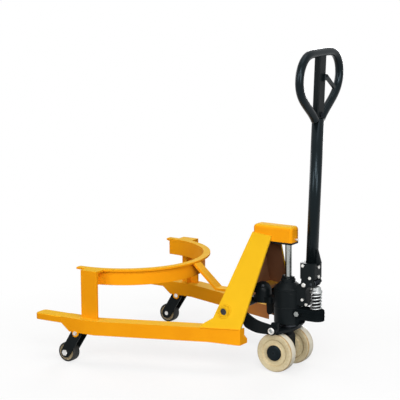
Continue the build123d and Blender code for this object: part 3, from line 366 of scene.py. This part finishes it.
# painted shade: a darker brown on the plates' faces turned to the pump; the mast's front and cross plates
# take it from all round
plate_paint, mast_paint = (
    finish(name, paint_skin, 0.12, 0.0006, specular=0.07, rim=0.5, Colour=(0.75, 0.430, 0.012, 1),
           Fade=(0.71, 0.395, 0.010, 1), Chip_Colour=(0.25, 0.09, 0.02, 1), Chips=0.4, Gloss=0.62,
           Film=(0.26, 0.115, 0.07, 1), Film_Amount=0.95, Film_Centre=pump_at, Film_Reach=reach)
    for name, reach in (("plate_paint", sideways), ("mast_paint", all_round)))
pump_paint = finish("pump_paint", paint_skin, 0.25, 0.0008, specular=0.08,
                    Colour=(0.0040, 0.0060, 0.0068, 1), Fade=(0.007, 0.0096, 0.0105, 1),
                    Chip_Colour=(0.07, 0.07, 0.07, 1), Chips=0.2, Gloss=0.36, Peel=180.0)
tongue_paint = finish("tongue_paint", paint_skin, 0.25, 0.0008, specular=0.0,
                      Colour=(0.0050, 0.0070, 0.0080, 1), Fade=(0.009, 0.0115, 0.0125, 1),
                      Chip_Colour=(0.05, 0.05, 0.05, 1), Chips=0.2, Gloss=0.7, Peel=180.0)
# rim: a bluish tint on the handle's highlights, a painted reflection of bluish surroundings
handle_paint = finish("handle_paint", paint_skin, 0.02, 0.0003, specular=0.16, rim=(0.65, 0.86, 1.0),
                      Colour=(0.0042, 0.0064, 0.0072, 1), Fade=(0.006, 0.0086, 0.0096, 1),
                      Chip_Colour=(0.05, 0.05, 0.05, 1), Chips=0.1, Gloss=0.15, Peel=320.0)
boot_rubber = finish("boot_rubber", paint_skin, 0.3, 0.0006, specular=0.08,
                     Colour=(0.0050, 0.0055, 0.0060, 1), Fade=(0.009, 0.010, 0.011, 1), Chips=0.0,
                     Gloss=0.6, Peel=500.0)
ram_chrome = finish("ram_chrome", metal_skin, 0.02, 0.0003, metallic=1.0, rim=0.05,
                    Bright=(0.42, 0.44, 0.43, 1), Dull=(0.30, 0.32, 0.31, 1), Polish=0.12,
                    Stretch=(0.02, 0.02, 1.0))
bolt_zinc = finish("bolt_zinc", metal_skin, 0.08, 0.0004, metallic=1.0, rim=0.3,
                   Bright=(0.80, 0.80, 0.78, 1), Dull=(0.48, 0.47, 0.43, 1), Polish=0.30)
bolt_steel = finish("bolt_steel", metal_skin, 0.08, 0.0004, metallic=1.0, rim=0.2,
                    Bright=(0.34, 0.36, 0.35, 1), Dull=(0.17, 0.18, 0.18, 1), Polish=0.34)
spring_wire = finish("spring_wire", metal_skin, 0.06, 0.0004, metallic=1.0, rim=0.1,
                     Bright=(0.52, 0.54, 0.54, 1), Dull=(0.30, 0.31, 0.31, 1), Polish=0.38)
bearing_steel = finish("bearing_steel", metal_skin, 0.06, 0.0004, metallic=1.0, rim=0.1,
                       Bright=(0.060, 0.066, 0.075, 1), Dull=(0.022, 0.024, 0.027, 1), Polish=0.32)
# The steer wheels' pale Tread colour is partly their own nylon and partly a painted highlight on the lit
# tread
wheel_nylon = finish("wheel_nylon", wheel_skin, 0.18, 0.0008, specular=0.3, Axle=middle("left_steer_wheel"),
                     Tread_Radius=half_size("left_steer_wheel").z, Face=(0.64, 0.55, 0.34, 1),
                     Rim=(0.66, 0.57, 0.37, 1), Stain=(0.36, 0.20, 0.06, 1), Tread=(0.83, 0.78, 0.64, 1),
                     Rim_Start=0.82, Stain_Amount=0.8)
roller_nylon = finish("roller_nylon", wheel_skin, 0.18, 0.0008, specular=0.25,
                      Axle=middle("left_load_roller"), Tread_Radius=half_size("left_load_roller").z,
                      Face=(0.42, 0.33, 0.19, 1), Rim=(0.020, 0.022, 0.022, 1),
                      Stain=(0.030, 0.026, 0.022, 1), Tread=(0.016, 0.018, 0.018, 1),
                      Rim_Start=0.78, Stain_Amount=0.75)

finish_of_slot = {"yellow": frame_paint, "yellow_plate": plate_paint, "black": handle_paint,
                  "cast": pump_paint, "chrome": ram_chrome, "zinc": bolt_zinc, "bearing": bearing_steel,
                  "cream": wheel_nylon, "spring": spring_wire}
# The plunger takes near-black steel as painted shade, for the shaded middle of the pump that it sits in
own_finish = {"plunger": bearing_steel, "cam_axle": bearing_steel, "loop_bolt": bearing_steel,
              "lever_pin": bearing_steel, "dome_plug": bearing_steel, "tongue_bolts": bolt_steel,
              "spring_cap": spring_wire, "centre_bar": pump_paint, "handle_yoke": pump_paint,
              "base_tongue": tongue_paint, "front_plate": mast_paint, "cross_plate": mast_paint,
              "left_boss": plate_paint, "right_boss": plate_paint}
for node, slot in slot_of.items():
    mesh = nodes[node].data
    mesh.materials.clear()
    mesh.materials.append(own_finish.get(node, finish_of_slot[slot]))


# Camera, light and floor

def aim(name, data, place, forward, up):
    """Object at a place, looking along forward with its top towards up."""
    forward, up = Vector(forward).normalized(), Vector(up)
    right = forward.cross(up).normalized()
    up = right.cross(forward)
    thing = bpy.data.objects.new(name, data)
    thing.matrix_world = Matrix.Translation(place) @ Matrix((right, up, -forward)).transposed().to_4x4()
    bpy.context.scene.collection.objects.link(thing)
    return thing


def make_camera():
    """The view's camera, whose focal length is known in pixels of a picture of the given width."""
    focal_pixels, picture_pixels, sensor = 1634.886, 400.0, 36.0
    lens = bpy.data.cameras.new("photo_camera")
    lens.sensor_width, lens.lens = sensor, sensor * focal_pixels / picture_pixels
    lens.clip_start, lens.clip_end = 0.1, 100.0
    bpy.context.scene.camera = aim("photo_camera", lens, (-3.1693, 5.0569, 1.6805),
                                   (0.523842, -0.832577, -0.180017), (0.090893, -0.155493, 0.983647))


def make_lamps():
    """Six round soft lamps, all aimed at the middle of the truck."""
    target = Vector((-0.1, 0.0, 0.4))
    for name, place, size, power in (("side_lamp", (0.5, 5.2, 1.7), 2.4, 99.0),
                                     ("key_lamp", (-2.55, 3.65, 2.8), 2.0, 119.0),
                                     ("top_lamp", (-0.5, 0.6, 5.2), 4.0, 75.0),
                                     ("rear_lamp", (-4.0, 2.2, 1.2), 2.0, 82.0),
                                     ("back_lamp", (1.2, -4.8, 1.7), 2.6, 160.0),
                                     ("front_lamp", (4.8, -0.6, 1.4), 2.6, 75.0)):
        data = bpy.data.lights.new(name, "AREA")
        data.shape, data.size, data.energy = "DISK", size, power
        aim(name, data, place, target - Vector(place), (0, 0, 1))


def make_world():
    """White to camera, mirror and glass rays; a dimmer even light for everything else."""
    world = bpy.data.worlds.new("studio")
    bpy.context.scene.world = world
    world.use_nodes = True
    tree = world.node_tree
    light, out = tree.nodes["Background"], tree.nodes["World Output"]
    light.inputs["Color"].default_value = (1, 1, 1, 1)
    light.inputs["Strength"].default_value = 0.06
    white = add_node(tree, "ShaderNodeBackground", Color=(1, 1, 1, 1), Strength=1.0)
    mixed = add_node(tree, "ShaderNodeMixShader",
                     {0: seen_directly(tree), 1: light.outputs[0], 2: white.outputs[0]})
    tree.links.new(mixed.outputs[0], out.inputs["Surface"])


def make_floor():
    """Wide pale disc of four rings that fades to plain white away from the truck and keeps the shadow
    under it. Light that it throws back is dimmed, so that the truck's underside stays dark."""
    steps = 128
    angle = np.linspace(0, 2 * np.pi, steps, endpoint=False)
    rings = np.array([0.001, 1.5, 4.0, 30.0])[:, None]
    points = np.stack([rings * np.cos(angle), rings * np.sin(angle), np.zeros((len(rings), steps))], axis=-1)
    verts, faces = turned_surface(points)
    mesh = bpy.data.meshes.new("floor")
    mesh.from_pydata(verts.tolist(), [], faces[:, ::-1].tolist())
    floor = bpy.data.objects.new("floor", mesh)
    bpy.context.scene.collection.objects.link(floor)
    material = bpy.data.materials.new("pale_floor")
    material.use_nodes = True
    tree = material.node_tree
    shader, out = tree.nodes["Principled BSDF"], tree.nodes["Material Output"]
    where = tree.nodes.new("ShaderNodeTexCoord").outputs["Object"]
    from_lens = tree.nodes.new("ShaderNodeLightPath").outputs["Is Camera Ray"]
    pale = mix_colour(tree, noise(tree, where, 60.0, 4.0), (0.90, 0.90, 0.90, 1), (0.93, 0.93, 0.93, 1))
    set_socket(tree, shader.inputs["Base Color"], mix_colour(tree, from_lens, (0.14, 0.14, 0.14, 1), pale))
    shader.inputs["Roughness"].default_value = 0.9
    shader.inputs["Specular IOR Level"].default_value = 0.1
    white = add_node(tree, "ShaderNodeEmission", Color=(1, 1, 1, 1), Strength=1.0)
    far = spread(tree, vector_maths(tree, "LENGTH", where, output="Value"), 0.45, 1.3, 0.72, 1.0)
    fade = maths(tree, "MULTIPLY", seen_directly(tree), far)
    mixed = add_node(tree, "ShaderNodeMixShader", {0: fade, 1: shader.outputs[0], 2: white.outputs[0]})
    tree.links.new(mixed.outputs[0], out.inputs["Surface"])
    mesh.materials.append(material)


make_camera()
make_lamps()
make_world()
make_floor()
bpy.context.scene.view_settings.view_transform = "Standard"


# Wheels and rollers

def make_tyre(name, node, material, body, face, soft, steps):
    """Tyre turned about its axle: face gives one side's (radius, along) points from the bore out to the
    tread, soft the rounding at each of them, and the other side mirrors both."""
    outline = face + [(radius, -along) for radius, along in face[::-1]]
    shape = lathe(rounded(outline, soft + soft[::-1]), middle(node), steps=steps)
    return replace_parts(add_piece(name, [shape], material, body), node)


def make_wheel(side):
    """Solid nylon wheel: dished faces round a hub, a raised rim with a rounded edge, a slightly crowned
    tread."""
    node = side + "_steer_wheel"
    radius, half = half_size(node).z, half_size(node).y
    bore, hub_edge, dish_start, dish_end, rim_start, rim_edge = 0.0101, 0.0300, 0.0325, 0.0460, 0.0500, 0.0640
    hub, dish, rim_foot = half - 0.003, half - 0.0055, half - 0.0015
    face = [(bore, hub), (hub_edge, hub), (dish_start, dish), (dish_end, dish), (rim_start, rim_foot),
            (rim_edge, half), (radius - 0.0030, half), (radius - 0.0009, half * 0.78), (radius, half * 0.45)]
    soft = [0.0004, 0.0012, 0.0015, 0.0015, 0.002, 0.003, 0.0024, 0.002, 0.004]
    return make_tyre(side + "_wheel_tyre", node, wheel_nylon, side + "_wheel", face, soft, 96)


def make_roller(side):
    """Load roller: a hub, a dished web and a thick tread with rounded edges."""
    node = side + "_load_roller"
    radius, half = half_size(node).z, half_size(node).y
    bore, hub_edge, dish_start, dish_end, rim_start = 0.0081, 0.0150, 0.0165, 0.0260, 0.0285
    dish = half - 0.002
    face = [(bore, half), (hub_edge, half), (dish_start, dish), (dish_end, dish), (rim_start, half - 0.0002),
            (radius - 0.0005, half - 0.0004), (radius, half * 0.4)]
    soft = [0.0004, 0.001, 0.001, 0.001, 0.001, 0.003, 0.003]
    return make_tyre(side + "_roller_tyre", node, roller_nylon, side + "_roller", face, soft, 72)


def make_hub_cap(side):
    """Black hub cap: a turned disc with a rounded edge and a slightly domed middle."""
    node = side + "_hub_cap"
    low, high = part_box(node)
    overhang, radius = 0.0038, half_size(node).z
    seat, crest = (low.y, high.y) if side == "left" else (high.y, low.y)
    shoulder = crest - 0.25 * (crest - seat)
    edge = rounded([(0.0, seat), (radius + overhang, seat), (radius + overhang, shoulder),
                    (0.6 * radius, crest), (0.0, crest)], [0, 0.0008, 0.0035, 0.004, 0])
    shape = lathe(edge, (middle(node).x, 0, middle(node).z))
    cap = add_piece(side + "_hub_cover", [shape], handle_paint, side + "_wheel")
    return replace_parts(cap, node)


# Return spring and its boot

def press_down(piece):
    """Gives a piece its own copy of its mesh."""
    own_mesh(piece)


def make_spring():
    """Return spring: a round wire on a helix whose end turns lie almost flat, so that both ends sit square.
    The rise is straight in three runs, and a running mean smooths it."""
    wire, turns, flat_turn, flat_rise, window = 0.0027, 5.0, 0.7, 0.09, 25
    radius = half_size("plunger_spring").y - wire
    turn = np.linspace(0, turns, 420)
    rise = np.interp(turn, [0, flat_turn, turns - flat_turn, turns], [0, flat_rise, 1 - flat_rise, 1])
    rise = np.convolve(np.pad(rise, window // 2, mode="edge"), np.ones(window) / window, mode="valid")
    foot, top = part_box("base_tongue")[1].z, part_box("spring_cap")[0].z
    centre = middle("spring_cap")
    path = np.stack([centre.x + radius * np.cos(2 * np.pi * turn),
                     centre.y + radius * np.sin(2 * np.pi * turn),
                     foot + wire + rise * (top - foot - 2 * wire)], axis=-1)
    spring = add_piece("plunger_coil", [carried(path, wire, 14)], spring_wire, "pump")
    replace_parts(spring, "plunger_spring")
    press_down(spring)


def make_boot():
    """Rubber boot round the plunger: a turned sleeve whose outer radius waves on its way up."""
    gap, bore, mean_radius, wave, waves = 0.0002, 0.0086, 0.0147, 0.0009, 7
    foot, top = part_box("base_tongue")[1].z + gap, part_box("spring_cap")[0].z - gap
    along = np.linspace(foot, top, 120)
    outer = mean_radius + wave * np.cos(2 * np.pi * waves * (along - foot) / (top - foot))
    profile = np.concatenate([np.stack([outer, along], axis=-1), [(bore, top), (bore, foot)]])
    centre = middle("spring_cap")
    shape = lathe(profile, (centre.x, centre.y, 0), "z", 48)
    boot = add_piece("plunger_boot", [shape], boot_rubber, "pump")
    press_down(boot)


# Plates and castings with rounded edges

def merged_copy(node):
    """Corners, corner normals and faces of a solid with equal corners merged and flat neighbours joined."""
    equal, flat = 2e-5, math.radians(0.4)
    work = bmesh.new()
    work.from_mesh(nodes[node].data)
    bmesh.ops.remove_doubles(work, verts=work.verts, dist=equal)
    bmesh.ops.dissolve_limit(work, angle_limit=flat, verts=work.verts, edges=work.edges)
    work.verts.index_update()
    work.normal_update()
    corners, normals = (np.array([getattr(v, key) for v in work.verts]) for key in ("co", "normal"))
    faces = [[v.index for v in face.verts] for face in work.faces]
    work.free()
    return corners, normals, faces


def add_skin(node, corners, faces, width):
    """Piece that stands in for a solid, its sharp edges rounded by a bevel of the given width."""
    look = nodes[node].data.materials[0]
    piece = add_mesh(node + "_skin", corners, faces, look, body_of[node])
    sharp = math.radians(28)
    if width:
        edge = piece.modifiers.new("rounded_edges", "BEVEL")
        edge.width, edge.segments, edge.limit_method, edge.angle_limit = width, 3, "ANGLE", sharp
        edge.harden_normals, edge.use_clamp_overlap = True, True
    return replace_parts(piece, node)


def soften(node, width, grow=0.0):
    """Copy of a solid with rounded edges. Grow is the thickness of a coat over it: each corner moves out
    by it along its normal."""
    corners, normals, faces = merged_copy(node)
    return add_skin(node, corners + grow * normals, faces, width)


def make_leg(side):
    """Leg whose stepped heel is drawn out into a slope: the lower corners of the step slide back along the
    leg until they stand just before its end."""
    heel_zone, step_start, slope_end, level = 0.13, 0.05, 0.012, 0.001
    corners, _, faces = merged_copy(side + "_leg")
    x, y, z = corners.T
    ahead = x - x.min()
    foot = (ahead < heel_zone) & (z < z[ahead < heel_zone].min() + level)
    step = foot & (ahead > step_start)
    splay = (np.abs(y[step]).max() - np.abs(y[foot & ~step]).max()) / ahead[step].mean()
    back = ahead[step] - slope_end
    corners[step] -= np.stack([back, np.sign(y[step]) * splay * back, 0 * back], axis=-1)
    return add_skin(side + "_leg", corners, faces, 0.0018)


def make_lever():
    """Control lever: the solid's own blade, drawn in along its length and grown by a coat. Near the pin its
    lower edge is spread and its upper edge drawn in, its tip is narrowed, and the pin's hole keeps its
    size."""
    draw_in, lower_spread, upper_spread, tip_spread = 0.2, 0.9, -0.35, -0.1
    hole_zone, hole_blend, coat, edge = 0.0065, 0.0015, 0.0012, 0.0012
    corners, normals, faces = merged_copy("control_lever")
    axes = np.linalg.svd(corners - corners.mean(axis=0), full_matrices=False)[2]
    arm = corners - np.array(middle("lever_pin"))
    along = axes[0] * np.sign((arm @ axes[0]).sum())
    across = axes[1] * -np.sign(axes[1][2])
    run, aside = arm @ along, arm @ across
    share = np.clip(run / run.max(), 0, 1)
    clear = np.clip((np.hypot(run, aside) - hole_zone) / hole_blend, 0, 1)
    widen = np.where(aside > 0, lower_spread, upper_spread) * (1 - share) + tip_spread * share
    corners = (corners - draw_in * (clear * np.maximum(run, 0))[:, None] * along
               + (clear * aside * widen)[:, None] * across)
    return add_skin("control_lever", corners + coat * normals, faces, edge)


# Small turned and cast pieces

def make_link_caps():
    """Heads of the two link bolts: turned discs with a rounded edge, and a dark disc sunk in each socket as
    painted shade.
    """
    thick, radius = 0.0056, 0.9 * half_size("link_caps").z
    centre, face = middle("link_caps"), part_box("link_caps")[1].y
    back, floor, shade_back, shade_face = (face - share * thick for share in (1.0, 0.8, 0.9, 0.45))
    head = rounded([(0.0, back), (radius, back), (radius, face), (0.56 * radius, face),
                    (0.50 * radius, floor), (0.0, floor)], [0, 0.0005, 0.0022, 0.0008, 0.0005, 0])
    shade_disc = rounded([(0.0, shade_back), (0.49 * radius, shade_back), (0.44 * radius, shade_face),
                    (0.0, shade_face)], [0, 0.0002, 0.0003, 0])
    heads, shade_discs = ([lathe(shape * (1, out), (centre.x, 0, centre.z), steps=64) for out in (1, -1)]
                    for shape in (head, shade_disc))
    # painted shade: a dark steel disc at the floor of each socket
    add_piece("link_bolt_socket_shade", shade_discs, bolt_steel, "rocker")
    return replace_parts(add_piece("link_bolt_heads", heads, bolt_zinc, "rocker"), "link_caps")


def make_pump_fittings():
    """Two raised rings round the pump, a wiper ring round the ram and two gland bolts beside it, all turned;
    a turned shape of six steps is a hexagon."""
    ram, top = middle("ram"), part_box("pump_body")[1].z
    at_ram = (ram.x, ram.y, 0)
    ring_radius, ring_wide, ring_high, ring_heights = 0.0514, 0.0020, 0.0024, (0.232, 0.297)
    turn = np.linspace(0, 2 * np.pi, 16, endpoint=False)
    rings = [lathe(np.stack([ring_radius + ring_wide * np.cos(turn), z + ring_high * np.sin(turn)], axis=-1),
                   at_ram, "z") for z in ring_heights]
    bore = half_size("ram").x + 0.0004
    seat, lip = top - 0.001, top + 0.0042
    wiper = rounded([(bore, seat), (bore + 0.0055, seat), (bore + 0.0045, lip), (bore, lip)], 0.0012)
    rings.append(lathe(wiper, at_ram, "z"))
    add_piece("pump_rings", rings, pump_paint, "pump")
    head_radius, bolt_reach, root, crown = 0.0062, 0.0195, top - 0.004, top + 0.0055
    head = rounded([(0, root), (head_radius, root), (head_radius, crown), (0, crown)], [0, 0, 0.0014, 0])
    bolts = [lathe(head, (ram.x + out * bolt_reach, ram.y, 0), "z", 6) for out in (1, -1)]
    add_piece("gland_bolts", bolts, pump_paint, "pump", smooth=False)


def make_tongue_ribs():
    """Two cast ribs round the tongue: a round section carried along one side, round the half-circle of its
    end and back along the other side."""
    half, depth, root_reach, rib, step = 0.0268, 0.040, 0.048, 0.0015, 0.003
    low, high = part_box("base_tongue")
    turn = np.linspace(np.pi / 2, 3 * np.pi / 2, 40)
    end = np.stack([low.x + half + half * np.cos(turn), half * np.sin(turn)], axis=-1)
    root = middle("ram").x - root_reach
    plan = np.concatenate([[(root, half)], end, [(root, -half)]])
    paths = [np.insert(plan, 2, high.z - share * depth, axis=1) for share in (0.30, 0.64)]
    ribs = [carried(even_steps(path, step)[0], rib, 10) for path in paths]
    return add_piece("tongue_ribs", ribs, tongue_paint, "pump")


# Weld beads

def surface_tree(node):
    mesh = nodes[node].data
    return BVHTree.FromPolygons([v.co for v in mesh.vertices], [list(p.vertices) for p in mesh.polygons])


def bead(points):
    """Weld bead: a rope along a polyline whose radius ripples and runs out at both ends."""
    radius, step, ripple_length, ripple_depth, run_out, least = 0.0030, 0.0011, 0.0045, 0.14, 0.004, 0.02
    path, at = even_steps(points, step)
    ripple = 1 - ripple_depth + ripple_depth * np.abs(np.sin(np.pi * at / ripple_length))
    fade = np.sqrt(np.clip(np.minimum(at, at[-1] - at) / run_out, least, 1))
    return carried(path, radius * ripple * fade, 8)


def both(paths):
    """The paths of the left side and their mirror images."""
    return [np.asarray(p, float) for p in paths] + [np.asarray(p, float) * (1, -1, 1) for p in paths]


def frame_welds():
    """Paths where the plates of the frame meet, and those round the bosses: places are cast onto the solids,
    so that each bead lies on them."""
    leg, plate = surface_tree("left_leg"), surface_tree("left_side_plate")
    heel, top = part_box("left_leg")[0].x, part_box("left_leg")[1].z
    shade_disc, proud, bar = 0.0004, 0.0008, 0.012

    def outside(tree, x, z):
        return np.array(tree.ray_cast(Vector((x, 1.0, z)), Vector((0, -1, 0)))[0])

    def inside(tree, x, z):
        return np.array(tree.ray_cast(Vector((x, -0.02, z)), Vector((0, 1, 0)))[0])

    weld_start, weld_end = 0.003, 0.140
    foot_x = np.linspace(heel + weld_start, heel + weld_end, 24)
    welds = [[outside(leg, x, top - 0.001) + (0, -shade_disc, 0.0010) for x in foot_x],
             [inside(plate, x, top + 0.0015) + (0, -shade_disc, 0) for x in foot_x[:18]]]
    low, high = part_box("left_post")
    inner = high.y - bar
    welds.append([(low.x, inner, top), (low.x, high.y, top), (high.x, high.y, top), (high.x, inner, top)])
    low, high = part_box("ring_band")
    radius, under = high.y + proud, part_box("ring_flange")[0].z - proud
    stitch, spacing, stitch_points = 6, 13, 12
    for first in range(8, 88, spacing):
        turn = np.radians(np.linspace(first, first + stitch, stitch_points))
        welds.append(np.stack([low.x + high.y - radius * np.cos(turn), radius * np.sin(turn),
                               np.full(stitch_points, under)], axis=-1))
    boss, reach = middle("left_boss"), half_size("left_boss").z + proud
    turn = np.linspace(0, 2 * np.pi, 48)
    ring = [outside(plate, boss.x + reach * np.cos(t), boss.z + reach * np.sin(t)) for t in turn]
    return both(welds), both([ring])


# The whole truck

side_edges = {"toe": 0.0015, "post": 0.0015, "side_plate": 0.0014, "boss": 0.0012, "roller_fork": 0.0010,
              "roller_axle": 0.0008}
middle_edges = {"ring_flange": 0.0014, "ring_band": 0.0012, "ring_strut": 0.0014, "cross_plate": 0.0012,
                "front_plate": 0.0012, "crosshead_plate": 0.0012, "rocker": 0.0016, "thrust_bracket": 0.0018,
                "pump_body": 0.0020, "base_tongue": 0.0015, "wheel_crown": 0.0020, "handle_yoke": 0.0018,
                "centre_bar": 0.0010, "tongue_bolts": 0.0009, "yoke_bolts": 0.0009, "valve_plugs": 0.0008,
                "spring_cap": 0.0010}
for side in ("left", "right"):
    make_wheel(side)
    make_hub_cap(side)
    make_roller(side)
    make_leg(side)
    for name, width in side_edges.items():
        soften(side + "_" + name, width)
make_spring()
make_boot()
make_link_caps()
for name, width in middle_edges.items():
    soften(name, width)
make_lever()
soften("handle_loop", 0.0, grow=0.0016)
soften("handle_tube", 0.0, grow=0.0011)
make_pump_fittings()
make_tongue_ribs()
frame_paths, boss_paths = frame_welds()
add_piece("frame_weld_beads", [bead(path) for path in frame_paths], frame_paint, "frame")
add_piece("boss_weld_beads", [bead(path) for path in boss_paths], plate_paint, "frame")
